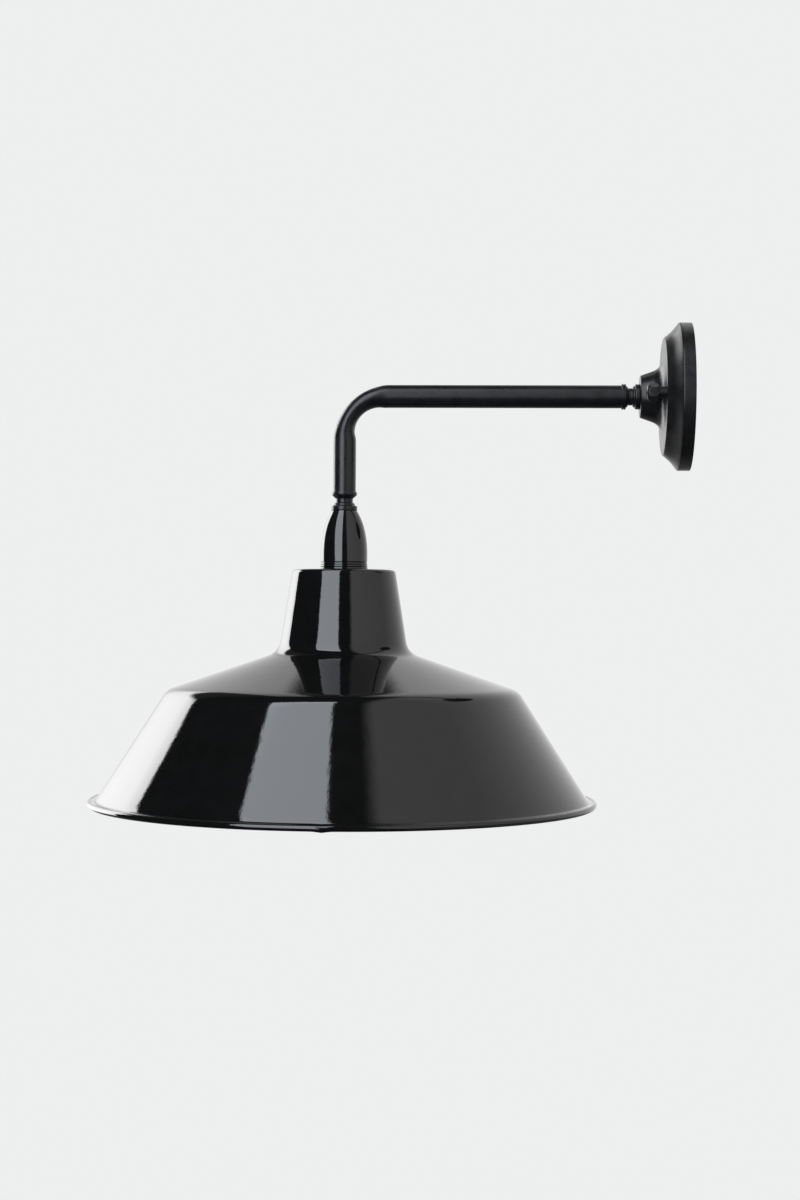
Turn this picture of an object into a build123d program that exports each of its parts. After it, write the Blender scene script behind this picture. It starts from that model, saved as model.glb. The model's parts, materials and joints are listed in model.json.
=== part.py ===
from build123d import *
from math import cos, pi, radians, sin, sqrt
import os

# Wall lamp: a turned rose on the wall, a bent tube arm and a spun, enamelled steel shade with its bulb.
# The origin is the centre of the rose's back on the wall. +X points into the wall, so the arm runs along
# -X at y = z = 0. +Z is up, and the shade hangs about a vertical axis at x = -REACH.

os.makedirs("parts", exist_ok=True)

# ---- driving dimensions (mm) ----
REACH = 241.4  # wall to the shade's axis
SHADE_R = 178.4  # outside of the rolled rim
SHADE_SHEET = 1.2
SPUN_SHEET = 0.9  # rose and cup

TUBE_R = 8.0
TUBE_WALL = 1.2
BEND_R = 29.0  # centreline of the arm's bend
OUTER_BEND_R = 41.0  # outside of the bend, flattened while bending
OUTER_BEND_IN = 33.0  # its centre, in from both straight runs' axes
INNER_BEND_R = 17.8  # inside of the bend
INNER_BEND_WALL = 24.7  # its centre, from the drop's axis
INNER_BEND_DOWN = 25.6  # its centre, below the arm's axis
BEND_BULGE = 0.8  # how far the flattened tube bulges sideways
BEND_BLEND = 7.0  # round again this far past each end of the bend
BEND_END = 12.0  # length of each straight end that belongs to the bend

ROSE_R = 51.6
ROSE_RING_DEPTH = 19.0  # wall to the flat ring that the cap nuts sit on
ROSE_FRONT = 35.0  # wall to the hub's flat front
COLLAR_END = 47.7  # wall to the arm tube's end
STUD_SPREAD = 32.0  # studs, each side of the axis
STUD_R = 2.5
STUD_FRONT = 28.4
PLATE_T = 1.6
PLATE_R = 46.0
SLOT_SPREAD = 66.7 / 2  # wall screws, above and below the axis
SLOT_R = 2.25
SLOT_LENGTH = 10.0
CABLE_HOLE_R = 10.5

NIPPLE_R = 4.0  # M8 x 1 hollow thread
NIPPLE_BORE_R = 2.9
BORE_GAP = 0.05
BUSH_LENGTH = 12.0
NIPPLE_GRIP = 9.0  # how far each nipple screws into the arm's end
WIRE_R = 1.05
WIRE_Y = 1.2  # each wire, beside the bores' axis

DROP_TOP = -67.0  # end of the arm tube
CUP_TOP = -80.6
CUP_BOTTOM = -118.4
RING_BOTTOM = -120.1
SHADE_TOP = -121.8
NECK_R = 36.2
NECK_FOOT_R = 45.5
NECK_DEPTH = 58.0
RIDGE_R = 123.2
RIDGE_DEPTH = 84.3
RIDGE_FILLET = 14.0
CONE_FOOT_R = 173.6
RIM_DEPTH = 163.2  # shade's top to the middle of the rolled rim
RIM_BEAD_R = 2.2

HOLDER_TOP = -128.3
HOLDER_SPLIT = -147.0
HOLDER_FLOOR = -150.5
HOLDER_BOTTOM = -180.0
HOLDER_R = 21.0
SHELL_R = 14.0
CAP_R = 13.0  # E27 cap over its thread
CAP_PITCH = 3.629
CAP_TURNS = 5
BULB_TIP = -158.7
BULB_R = 30.0
BULB_LENGTH = 106.0
GLASS_T = 0.8

DROP_AXIS = Axis((-REACH, 0, 0), (0, 0, 1))
DROP_PLANE = Plane(origin=(-REACH, 0, 0), x_dir=(1, 0, 0), z_dir=(0, -1, 0))


def corners_and_radii(corners):
    """Splits (u, v, radius) corners into the points and radii that FilletPolyline takes."""
    points = [(u, v) for u, v, _ in corners]
    return points, [radius for _, _, radius in corners]


def turned(corners, plane=DROP_PLANE, axis=DROP_AXIS):
    """A solid turned from a closed outline of (u, v, corner radius)."""
    points, radii = corners_and_radii(corners)
    with BuildPart() as piece:
        with BuildSketch(plane):
            with BuildLine():
                FilletPolyline(*points, radius=radii, close=True)
            make_face()
        revolve(axis=axis)
    return piece.part


def turned_on_arm(corners):
    """A solid turned about the arm's axis from (distance from the wall, radius, corner radius)."""
    outline = [(-depth, radius, fillet_r) for depth, radius, fillet_r in corners]
    return turned(outline, Plane.XZ, Axis.X)


def spun(corners, sheet, plane=DROP_PLANE, axis=DROP_AXIS):
    """A sheet shell spun from the open outline of its outer face."""
    points, radii = corners_and_radii(corners)
    with BuildPart() as piece:
        with BuildSketch(plane):
            with BuildLine():
                FilletPolyline(*points, radius=radii[1:-1])
                offset(amount=sheet, side=Side.RIGHT)
            make_face()
        revolve(axis=axis)
    return piece.part


def ring(bottom, top, inner, outer, corner=0.0):
    """A plain ring about the shade's axis."""
    return turned([(inner, bottom, 0), (outer, bottom, corner), (outer, top, corner), (inner, top, 0)])


def ring_on_arm(back, front, inner, outer, corner=0.0):
    """A plain ring about the arm's axis, from two distances to the wall."""
    return turned_on_arm([(back, inner, 0), (back, outer, corner), (front, outer, corner), (front, inner, 0)])


def hex_nut(plane, across_flats, thickness, bore):
    """A plain hexagon nut, extruded from its plane."""
    with BuildPart() as nut:
        with BuildSketch(plane):
            RegularPolygon(across_flats / 2, 6, major_radius=False, rotation=30)
            Circle(bore, mode=Mode.SUBTRACT)
        extrude(amount=thickness)
        chamfer(nut.edges().filter_by(Axis(plane.origin, plane.z_dir)), 0.3)
    return nut.part


def save(part, name):
    part.label = name
    export_step(part, "parts/" + name + ".step")


# ---- behind the rose ----
STUD_PLACES = [(STUD_SPREAD, 0), (-STUD_SPREAD, 0)]
SLOT_PLACES = [(0, SLOT_SPREAD), (0, -SLOT_SPREAD)]
EARTH_PLACE = (-18.0, -22.0)
EARTH_R = 2.0
EARTH_HEAD_R = 4.0
EARTH_WASHER_R = 5.2
EARTH_WASHER_FRONT = 3.0
EARTH_HEAD_FRONT = 5.6
with BuildPart() as mounting_bracket:
    with BuildSketch(Plane.YZ):
        Circle(PLATE_R)
        Circle(CABLE_HOLE_R, mode=Mode.SUBTRACT)
        with Locations(*STUD_PLACES):
            Circle(STUD_R, mode=Mode.SUBTRACT)
        with Locations(*SLOT_PLACES):
            SlotOverall(SLOT_LENGTH, 2 * SLOT_R, rotation=90, mode=Mode.SUBTRACT)
        with Locations(EARTH_PLACE):
            Circle(EARTH_R, mode=Mode.SUBTRACT)
    extrude(amount=-PLATE_T)
save(mounting_bracket.part, "mounting_bracket")

with BuildPart() as bracket_studs:
    with BuildSketch(Plane.YZ):
        with Locations(*STUD_PLACES):
            Circle(STUD_R)
    extrude(amount=-STUD_FRONT)
    chamfer(bracket_studs.faces().sort_by(Axis.X)[:2].edges(), 0.5)
save(bracket_studs.part, "bracket_studs")

with BuildPart() as earth_screw:
    with BuildSketch(Plane.YZ):
        with Locations(EARTH_PLACE):
            Circle(EARTH_R)
    extrude(amount=-EARTH_HEAD_FRONT)
    with BuildSketch(Plane.YZ.offset(-EARTH_WASHER_FRONT)):
        with Locations(EARTH_PLACE):
            Circle(EARTH_HEAD_R)
    extrude(amount=EARTH_WASHER_FRONT - EARTH_HEAD_FRONT)
    chamfer(earth_screw.faces().sort_by(Axis.X)[0].edges(), 0.6)
    with BuildSketch(Plane.YZ.offset(-EARTH_HEAD_FRONT)):
        with Locations(EARTH_PLACE):
            Rectangle(2 * EARTH_HEAD_R, 0.9)
    extrude(amount=1.1, mode=Mode.SUBTRACT)
save(earth_screw.part, "earth_screw")

with BuildPart() as earth_washer:
    with BuildSketch(Plane.YZ.offset(-PLATE_T)):
        with Locations(EARTH_PLACE):
            Circle(EARTH_WASHER_R)
            Circle(EARTH_R, mode=Mode.SUBTRACT)
    extrude(amount=PLATE_T - EARTH_WASHER_FRONT)
save(earth_washer.part, "earth_washer")

BLOCK_LOW = 12.5
BLOCK_HIGH = 25.5
BLOCK_MIDDLE = (BLOCK_LOW + BLOCK_HIGH) / 2
BLOCK_WIDTH = 18.4
BLOCK_THICKNESS = 10.0
BLOCK_FRONT = PLATE_T + BLOCK_THICKNESS
WAY_Y = 4.6
WAY_X = -PLATE_T - BLOCK_THICKNESS / 2
WAY_R = 2.2
BLOCK_SCREW_R = 1.7
BLOCK_SCREW_SINK = 0.4
BLOCK_SCREW_PLACES = [(WAY_Y, BLOCK_MIDDLE), (-WAY_Y, BLOCK_MIDDLE)]
with BuildPart() as terminal_block:
    with BuildSketch(Plane.YZ.offset(-PLATE_T)):
        with Locations((0, BLOCK_MIDDLE)):
            RectangleRounded(BLOCK_WIDTH, BLOCK_HIGH - BLOCK_LOW, 1.0)
    extrude(amount=PLATE_T - BLOCK_FRONT)
    with BuildSketch(Plane.XY.offset(BLOCK_LOW)):
        with Locations((WAY_X, WAY_Y), (WAY_X, -WAY_Y)):
            Circle(WAY_R)
    extrude(amount=BLOCK_HIGH - BLOCK_LOW, mode=Mode.SUBTRACT)
    with BuildSketch(Plane.YZ.offset(-BLOCK_FRONT)):
        with Locations(*BLOCK_SCREW_PLACES):
            Circle(BLOCK_SCREW_R + 0.1)
    extrude(amount=4.0, mode=Mode.SUBTRACT)
save(terminal_block.part, "terminal_block")

with BuildPart() as terminal_screws:
    with BuildSketch(Plane.YZ.offset(BLOCK_SCREW_SINK - BLOCK_FRONT)):
        with Locations(*BLOCK_SCREW_PLACES):
            Circle(BLOCK_SCREW_R)
    extrude(amount=2.6)
    with BuildSketch(Plane.YZ.offset(BLOCK_SCREW_SINK - BLOCK_FRONT)):
        with Locations(*BLOCK_SCREW_PLACES):
            Rectangle(2.4 * BLOCK_SCREW_R, 0.6)
    extrude(amount=0.8, mode=Mode.SUBTRACT)
save(terminal_screws.part, "terminal_screws")

# ---- the rose and what clamps it ----
rose_outline = [
    (-ROSE_FRONT, NIPPLE_R + 0.1, 0),
    (-ROSE_FRONT, 14.6, 1.0),
    (-ROSE_RING_DEPTH, 20.3, 11.0),
    (-ROSE_RING_DEPTH, 40.8, 1.8),
    (-13.8, 44.7, 25.0),
    (-8.4, ROSE_R, 1.2),
    (0, ROSE_R, 0),
]
rose_shell = spun(rose_outline, SPUN_SHEET, Plane.XZ, Axis.X)
with BuildPart() as wall_rose:
    add(rose_shell)
    with BuildSketch(Plane.YZ.offset(-ROSE_RING_DEPTH - 1)):
        with Locations(*STUD_PLACES):
            Circle(STUD_R + 0.2)
    extrude(amount=3.0, mode=Mode.SUBTRACT)
save(wall_rose.part, "wall_rose")

WASHER_T = 1.0
WASHER_R = 4.3
NUT_BACK = ROSE_RING_DEPTH + WASHER_T
NUT_HEX_BACK = 24.0
NUT_TIP = 32.6
NUT_FLATS = 10.8
NUT_HOLE_END = 29.4
cap_nut_washer = ring_on_arm(ROSE_RING_DEPTH, NUT_BACK, STUD_R, WASHER_R, 0.3)
nut_dome = turned_on_arm([
    (NUT_HEX_BACK, 0, 0),
    (NUT_HEX_BACK, 5.9, 0.6),
    (29.6, 6.3, 1.6),
    (NUT_TIP, 3.8, 2.4),
    (NUT_TIP, 0, 0),
])
nut_collar = turned_on_arm([
    (NUT_BACK, 0, 0),
    (NUT_BACK, 3.9, 0.2),
    (NUT_HEX_BACK + 0.4, 3.9, 0),
    (NUT_HEX_BACK + 0.4, 0, 0),
])
with BuildPart() as cap_nut:
    with BuildSketch(Plane.YZ.offset(-NUT_HEX_BACK)):
        RegularPolygon(NUT_FLATS / 2, 6, major_radius=False, rotation=30)
    extrude(amount=-(NUT_TIP - NUT_HEX_BACK))
    add(nut_dome, mode=Mode.INTERSECT)
    add(nut_collar)
    with BuildSketch(Plane.YZ.offset(-NUT_BACK)):
        Circle(STUD_R)
    extrude(amount=-(NUT_HOLE_END - NUT_BACK), mode=Mode.SUBTRACT)
for name, single in (("cap_nut_washers", cap_nut_washer), ("cap_nuts", cap_nut.part)):
    with BuildPart() as pair:
        with Locations((0, STUD_SPREAD, 0), (0, -STUD_SPREAD, 0)):
            add(single)
    save(pair.part, name)

NIPPLE_BACK = 24.0
BUSHING_BORE_R = 2.4
ROSE_INSIDE = ROSE_FRONT - SPUN_SHEET
LOCK_WASHER_T = 1.0
LOCKNUT_FLATS = 13.0
LOCKNUT_T = 3.0
save(ring_on_arm(ROSE_INSIDE - LOCK_WASHER_T, ROSE_INSIDE, NIPPLE_R, 8.0, 0.2), "rose_lock_washer")
rose_locknut = hex_nut(Plane.YZ.offset(LOCK_WASHER_T - ROSE_INSIDE), LOCKNUT_FLATS, LOCKNUT_T, NIPPLE_R)
save(rose_locknut, "rose_locknut")
save(ring_on_arm(NIPPLE_BACK, COLLAR_END + NIPPLE_GRIP, NIPPLE_BORE_R, NIPPLE_R, 0.3), "rose_nipple")
save(
    turned_on_arm([
        (NIPPLE_BACK - 1.2, BUSHING_BORE_R, 0.3),
        (NIPPLE_BACK - 1.2, 4.8, 0.4),
        (NIPPLE_BACK, 4.8, 0),
        (NIPPLE_BACK, NIPPLE_BORE_R, 0),
        (NIPPLE_BACK + 4.0, NIPPLE_BORE_R, 0),
        (NIPPLE_BACK + 4.0, BUSHING_BORE_R, 0),
    ]),
    "nipple_bushing",
)

BORE_R = NIPPLE_R + BORE_GAP
save(
    turned_on_arm([
        (ROSE_FRONT, BORE_R, 0),
        (ROSE_FRONT, 8.8, 0.6),
        (38.2, 8.8, 1.0),
        (38.6, 7.6, 0.2),
        (39.6, 7.2, 0.5),
        (40.3, 6.0, 0.6),
        (43.0, 6.0, 0.6),
        (43.8, 7.3, 0.3),
        (44.6, 7.5, 0.2),
        (44.7, 8.9, 0.5),
        (45.9, 8.9, 0.3),
        (46.0, 8.5, 0.1),
        (46.3, 8.5, 0.1),
        (46.4, 9.0, 0.3),
        (COLLAR_END, 9.0, 0.6),
        (COLLAR_END, BORE_R, 0),
    ]),
    "rose_collar",
)

# ---- the arm: a straight run, a flattened bend and a short drop ----

def reach_to_circle(angle, centre_wall, centre_down, radius):
    """Distance from the bend's pivot, along angle, to a circle given from the same pivot."""
    along = -centre_wall * sin(angle) + centre_down * cos(angle)
    return along + sqrt(along**2 + radius**2 - centre_wall**2 - centre_down**2)


def bend_section(angle):
    """Plane of the bend's section, and the half thickness there. The angle grows from the arm to the drop."""
    outer = reach_to_circle(angle, OUTER_BEND_IN - BEND_R, BEND_R - OUTER_BEND_IN, OUTER_BEND_R)
    inner = reach_to_circle(angle, INNER_BEND_WALL - BEND_R, BEND_R - INNER_BEND_DOWN, INNER_BEND_R)
    middle = (outer + inner) / 2
    centre = (-REACH + BEND_R - middle * sin(angle), 0, -BEND_R + middle * cos(angle))
    plane = Plane(origin=centre, x_dir=(-sin(angle), 0, cos(angle)), z_dir=(-cos(angle), 0, -sin(angle)))
    return plane, (outer - inner) / 2


def arm_loft(wall):
    """The bend as a solid loft, smaller all round by the wall that is given."""
    run_in = -REACH + BEND_R
    with BuildPart() as bend:
        for beyond in (BEND_END, BEND_BLEND):
            with BuildSketch(Plane(origin=(run_in + beyond, 0, 0), x_dir=(0, 0, 1), z_dir=(-1, 0, 0))):
                Circle(TUBE_R - wall)
        for step in range(7):
            angle = radians(6.0 + 13.0 * step)
            plane, half = bend_section(angle)
            with BuildSketch(plane):
                Ellipse(half - wall, TUBE_R + BEND_BULGE * sin(2 * angle) - wall)
        for beyond in (BEND_BLEND, BEND_END):
            with BuildSketch(Plane(origin=(-REACH, 0, -BEND_R - beyond), x_dir=(-1, 0, 0), z_dir=(0, 0, -1))):
                Circle(TUBE_R - wall)
        loft()
    return bend.part


def straight_runs(wall):
    """The tube's two straight runs as solids, smaller all round by the wall that is given."""
    with BuildPart() as runs:
        with BuildSketch(Plane.YZ.offset(-REACH + BEND_R + BEND_END)):
            Circle(TUBE_R - wall)
        extrude(amount=REACH - BEND_R - BEND_END - COLLAR_END)
        with BuildSketch(Plane.XY.offset(DROP_TOP)):
            with Locations((-REACH, 0)):
                Circle(TUBE_R - wall)
        extrude(amount=-BEND_R - BEND_END - DROP_TOP)
    return runs.part


with BuildPart() as arm_tube:
    add(arm_loft(0))
    add(straight_runs(0))
    add(arm_loft(TUBE_WALL), mode=Mode.SUBTRACT)
    add(straight_runs(TUBE_WALL), mode=Mode.SUBTRACT)
save(arm_tube.part, "arm_tube")

BUSH_R = TUBE_R - TUBE_WALL
with BuildPart() as arm_end_bushes:
    add(ring_on_arm(COLLAR_END, COLLAR_END + BUSH_LENGTH, NIPPLE_R, BUSH_R))
    add(ring(DROP_TOP, DROP_TOP + BUSH_LENGTH, NIPPLE_R, BUSH_R))
save(arm_end_bushes.part, "arm_end_bushes")

# ---- the drop: collar, cup, rings and nipple ----
save(
    turned([
        (BORE_R, DROP_TOP, 0),
        (8.4, DROP_TOP, 0.3),
        (9.0, -68.2, 0.6),
        (8.8, -69.6, 0.5),
        (7.2, -71.0, 0.6),
        (6.0, -72.1, 0.5),
        (6.0, -74.6, 0.5),
        (7.1, -75.4, 0.2),
        (7.6, -76.6, 0.2),
        (9.1, -77.4, 0.6),
        (9.1, CUP_TOP, 0.9),
        (BORE_R, CUP_TOP, 0),
    ]),
    "drop_collar",
)

with BuildPart() as holder_cup:
    with BuildSketch(DROP_PLANE):
        with BuildLine():
            Polyline((9.0, CUP_TOP), (BORE_R, CUP_TOP), (BORE_R, CUP_TOP - 1.2), (8.1, CUP_TOP - 1.2))
            Bezier((8.1, CUP_TOP - 1.2), (11.8, -87.0), (15.9, -96.2), (15.6, -113.6))
            Polyline((15.6, -113.6), (15.3, CUP_BOTTOM), (16.1, CUP_BOTTOM))
            ThreePointArc((16.1, CUP_BOTTOM), (16.5, -117.7), (16.1, -117.0))
            Polyline((16.1, -117.0), (16.1, -116.6), (16.5, -116.4), (16.5, -113.6))
            Bezier((16.5, -113.6), (16.8, -95.8), (12.7, -86.4), (9.0, CUP_TOP))
        make_face()
    revolve(axis=DROP_AXIS)
save(holder_cup.part, "holder_cup")

save(ring(RING_BOTTOM, CUP_BOTTOM, BORE_R, 16.6, 0.5), "cup_ring")
save(ring(SHADE_TOP, RING_BOTTOM, BORE_R, 16.8, 0.5), "shade_washer")
NIPPLE_END = -135.5
save(ring(NIPPLE_END, DROP_TOP + NIPPLE_GRIP, NIPPLE_BORE_R, NIPPLE_R, 0.3), "drop_nipple")

# ---- the shade ----
shade_outline = [
    (BORE_R, SHADE_TOP, 0),
    (NECK_R, SHADE_TOP, 3.0),
    (NECK_FOOT_R, SHADE_TOP - NECK_DEPTH, 12.0),
    (RIDGE_R, SHADE_TOP - RIDGE_DEPTH, RIDGE_FILLET),
    (CONE_FOOT_R, SHADE_TOP - RIM_DEPTH, 0),
]
RIM_CENTRE_R = SHADE_R - RIM_BEAD_R
with BuildPart() as shade:
    add(spun(shade_outline, SHADE_SHEET))
    with BuildSketch(DROP_PLANE):
        with Locations((RIM_CENTRE_R, SHADE_TOP - RIM_DEPTH)):
            Circle(RIM_BEAD_R)
        with BuildLine():
            Polyline(
                (CONE_FOOT_R - 1.3, SHADE_TOP - RIM_DEPTH + 0.4),
                (CONE_FOOT_R - 1.1, SHADE_TOP - RIM_DEPTH + 2.2),
                (RIM_CENTRE_R - 1.4, SHADE_TOP - RIM_DEPTH + 1.7),
                (RIM_CENTRE_R - 1.4, SHADE_TOP - RIM_DEPTH - 1.7),
                close=True,
            )
        make_face()
    revolve(axis=DROP_AXIS)
save(shade.part, "shade")

INSIDE_TOP = SHADE_TOP - SHADE_SHEET
CLAMP_WASHER_T = 1.2
save(ring(INSIDE_TOP - CLAMP_WASHER_T, INSIDE_TOP, NIPPLE_R, 14.0, 0.3), "shade_clamp_washer")
locknut_plane = Plane(origin=(-REACH, 0, INSIDE_TOP - CLAMP_WASHER_T), x_dir=(1, 0, 0), z_dir=(0, 0, -1))
shade_locknut = hex_nut(locknut_plane, LOCKNUT_FLATS, LOCKNUT_T, NIPPLE_R)
save(shade_locknut, "shade_locknut")

# ---- the lampholder ----
CAVITY_R = 15.5
HOLDER_SCREW_SPREAD = 18.0
HOLDER_SCREW_R = 1.4
HOLDER_SCREW_HEAD_R = 2.3
HOLDER_SCREW_HEAD = 1.8
HOLDER_SCREW_TOP = HOLDER_SPLIT + 6.0
HOLDER_SCREW_PLACES = [(-REACH + HOLDER_SCREW_SPREAD, 0), (-REACH - HOLDER_SCREW_SPREAD, 0)]
dome_turning = turned([
    (NIPPLE_R, HOLDER_TOP, 0),
    (8.5, HOLDER_TOP, 0.8),
    (9.6, HOLDER_TOP - 2.5, 1.0),
    (HOLDER_R, HOLDER_TOP - 6.0, 7.0),
    (HOLDER_R, HOLDER_SPLIT, 0.3),
    (CAVITY_R, HOLDER_SPLIT, 0),
    (CAVITY_R, HOLDER_TOP - 11.0, 3.0),
    (8.0, HOLDER_TOP - 6.8, 1.0),
    (NIPPLE_R, HOLDER_TOP - 6.8, 0),
])
with BuildPart() as lampholder_dome:
    add(dome_turning)
    with BuildSketch(Plane.XY.offset(HOLDER_SPLIT)):
        with Locations(*HOLDER_SCREW_PLACES):
            Circle(HOLDER_SCREW_R)
    extrude(amount=HOLDER_SCREW_TOP - HOLDER_SPLIT, mode=Mode.SUBTRACT)
save(lampholder_dome.part, "lampholder_dome")

TERMINAL_SPREAD = 9.5
CONTACT_Z = -156.0
CONTACT_T = 0.6
RIVET_R = 1.5
body_turning = turned([
    (RIVET_R, HOLDER_FLOOR, 0),
    (CAVITY_R, HOLDER_FLOOR, 0),
    (CAVITY_R, HOLDER_SPLIT, 0),
    (HOLDER_R, HOLDER_SPLIT, 0.3),
    (HOLDER_R, HOLDER_BOTTOM, 1.5),
    (SHELL_R + 0.6, HOLDER_BOTTOM, 0.5),
    (SHELL_R, HOLDER_BOTTOM + 1.5, 0.3),
    (SHELL_R, CONTACT_Z, 0),
    (RIVET_R, CONTACT_Z, 0),
])
with BuildPart() as lampholder_body:
    add(body_turning)
    with BuildSketch(Plane.XY.offset(HOLDER_BOTTOM)):
        with Locations(*HOLDER_SCREW_PLACES):
            Circle(HOLDER_SCREW_HEAD_R)
    extrude(amount=HOLDER_SCREW_HEAD, mode=Mode.SUBTRACT)
    with BuildSketch(Plane.XY.offset(HOLDER_BOTTOM)):
        with Locations(*HOLDER_SCREW_PLACES):
            Circle(HOLDER_SCREW_R)
    extrude(amount=HOLDER_SPLIT - HOLDER_BOTTOM, mode=Mode.SUBTRACT)
save(lampholder_body.part, "lampholder_body")

with BuildPart() as lampholder_screws:
    with BuildSketch(Plane.XY.offset(HOLDER_BOTTOM)):
        with Locations(*HOLDER_SCREW_PLACES):
            Circle(HOLDER_SCREW_HEAD_R)
    extrude(amount=HOLDER_SCREW_HEAD)
    with BuildSketch(Plane.XY.offset(HOLDER_BOTTOM)):
        with Locations(*HOLDER_SCREW_PLACES):
            Circle(HOLDER_SCREW_R)
    extrude(amount=HOLDER_SCREW_TOP - HOLDER_BOTTOM)
    with BuildSketch(Plane.XY.offset(HOLDER_BOTTOM)):
        with Locations(*HOLDER_SCREW_PLACES):
            Rectangle(5.0, 0.6)
    extrude(amount=0.9, mode=Mode.SUBTRACT)
save(lampholder_screws.part, "lampholder_screws")

SHELL_WALL = 0.5
SHELL_BOTTOM = HOLDER_BOTTOM + 2.4
save(
    turned([
        (9.0, CONTACT_Z, 0),
        (SHELL_R, CONTACT_Z, 0),
        (SHELL_R, SHELL_BOTTOM, 0),
        (SHELL_R - SHELL_WALL, SHELL_BOTTOM, 0),
        (SHELL_R - SHELL_WALL, CONTACT_Z - SHELL_WALL, 0.3),
        (9.0, CONTACT_Z - SHELL_WALL, 0),
    ]),
    "lampholder_shell",
)

with BuildPart() as lampholder_contact:
    add(
        turned([
            (0, HOLDER_FLOOR + 1.0, 0),
            (2.8, HOLDER_FLOOR + 1.0, 0.5),
            (2.8, HOLDER_FLOOR, 0),
            (RIVET_R, HOLDER_FLOOR, 0),
            (RIVET_R, CONTACT_Z, 0),
            (4.5, CONTACT_Z, 0),
            (4.5, CONTACT_Z - CONTACT_T, 0),
            (0, CONTACT_Z - CONTACT_T, 0),
        ])
    )
    with BuildSketch(Plane(origin=(-REACH, -2.0, 0), x_dir=(1, 0, 0), z_dir=(0, 1, 0))):
        with BuildLine():
            leaf = FilletPolyline((-4.0, 156.3), (3.6, 158.1), (0.5, 158.5), radius=0.4)
            offset(leaf, amount=0.15, kind=Kind.INTERSECTION)
        make_face()
    extrude(amount=4.0)
save(lampholder_contact.part, "lampholder_contact")

TERMINAL_PLACES = [(-REACH, TERMINAL_SPREAD), (-REACH, -TERMINAL_SPREAD)]
TERMINAL_HEIGHT = 5.0
TERMINAL_SCREW_R = 1.3
TERMINAL_SCREW_Z = HOLDER_FLOOR + 2.5
TERMINAL_SCREW_PLACES = [(TERMINAL_SPREAD, TERMINAL_SCREW_Z), (-TERMINAL_SPREAD, TERMINAL_SCREW_Z)]
TERMINAL_FACE = -REACH + 3.5
with BuildPart() as holder_terminals:
    with BuildSketch(Plane.XY.offset(HOLDER_FLOOR)):
        with Locations(*TERMINAL_PLACES):
            Rectangle(7.0, 5.0)
    extrude(amount=TERMINAL_HEIGHT)
    with BuildSketch(Plane.XY.offset(HOLDER_FLOOR + TERMINAL_HEIGHT)):
        with Locations(*TERMINAL_PLACES):
            Circle(WIRE_R + 0.1)
    extrude(amount=-4.0, mode=Mode.SUBTRACT)
    with BuildSketch(Plane.YZ.offset(TERMINAL_FACE)):
        with Locations(*TERMINAL_SCREW_PLACES):
            Circle(TERMINAL_SCREW_R)
    extrude(amount=-2.2, mode=Mode.SUBTRACT)
save(holder_terminals.part, "holder_terminals")

with BuildPart() as holder_terminal_screws:
    with BuildSketch(Plane.YZ.offset(TERMINAL_FACE + 1.2)):
        with Locations(*TERMINAL_SCREW_PLACES):
            Circle(TERMINAL_SCREW_R)
    extrude(amount=-3.3)
    with BuildSketch(Plane.YZ.offset(TERMINAL_FACE + 1.2)):
        with Locations(*TERMINAL_SCREW_PLACES):
            Rectangle(2.4 * TERMINAL_SCREW_R, 0.5)
    extrude(amount=-0.6, mode=Mode.SUBTRACT)
save(holder_terminal_screws.part, "holder_terminal_screws")


# ---- the wires, from the block in the rose to the lampholder's terminals ----
def wire(side):
    """One insulated wire. Side is +1 or -1, the side of the bores' axis that it keeps to."""
    route = [
        (WAY_X, side * WAY_Y, BLOCK_LOW + 6.0),
        (WAY_X, side * WAY_Y, 7.0),
        (-15.0, side * WIRE_Y, 0),
        (-REACH, side * WIRE_Y, 0),
        (-REACH, side * WIRE_Y, -138.3),
        (-REACH, side * TERMINAL_SPREAD, -141.4),
        (-REACH, side * TERMINAL_SPREAD, HOLDER_FLOOR + 2.0),
    ]
    with BuildPart() as lead:
        with BuildLine():
            path = FilletPolyline(*route, radius=[4.0, 5.0, BEND_R, 2.2, 2.2])
        with BuildSketch(Plane(origin=path @ 0, z_dir=path % 0)):
            Circle(WIRE_R)
        sweep()
    print("wire volume ratio:", lead.part.volume / (pi * WIRE_R**2 * path.length))
    return lead.part


save(wire(-1), "live_wire")
save(wire(1), "neutral_wire")

# ---- the bulb ----
TIP_T = 1.6
INSULATOR_TOP = BULB_TIP - TIP_T - 0.05
CAP_TOP = BULB_TIP - 4.6
THREAD_TOP = CAP_TOP - 1.2
CAP_BOTTOM = BULB_TIP - 25.0
CAP_WALL = 0.4
CAP_NECK_R = 10.6
THREAD_DEPTH = 0.9
ROOT_R = CAP_R - THREAD_DEPTH
SKIRT_R = CAP_R + 0.2
BULB_CENTRE = BULB_TIP - BULB_LENGTH + BULB_R
tip_outline = [(0, BULB_TIP, 0), (3.6, BULB_TIP, 1.2), (4.8, BULB_TIP - TIP_T, 0), (0, BULB_TIP - TIP_T, 0)]
save(turned(tip_outline), "bulb_tip")
save(
    turned([
        (0, INSULATOR_TOP, 0),
        (5.2, INSULATOR_TOP, 0.4),
        (CAP_NECK_R, CAP_TOP, 0),
        (CAP_NECK_R, CAP_TOP - 0.8, 0),
        (0, CAP_TOP - 0.8, 0),
    ]),
    "bulb_insulator",
)

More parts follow.
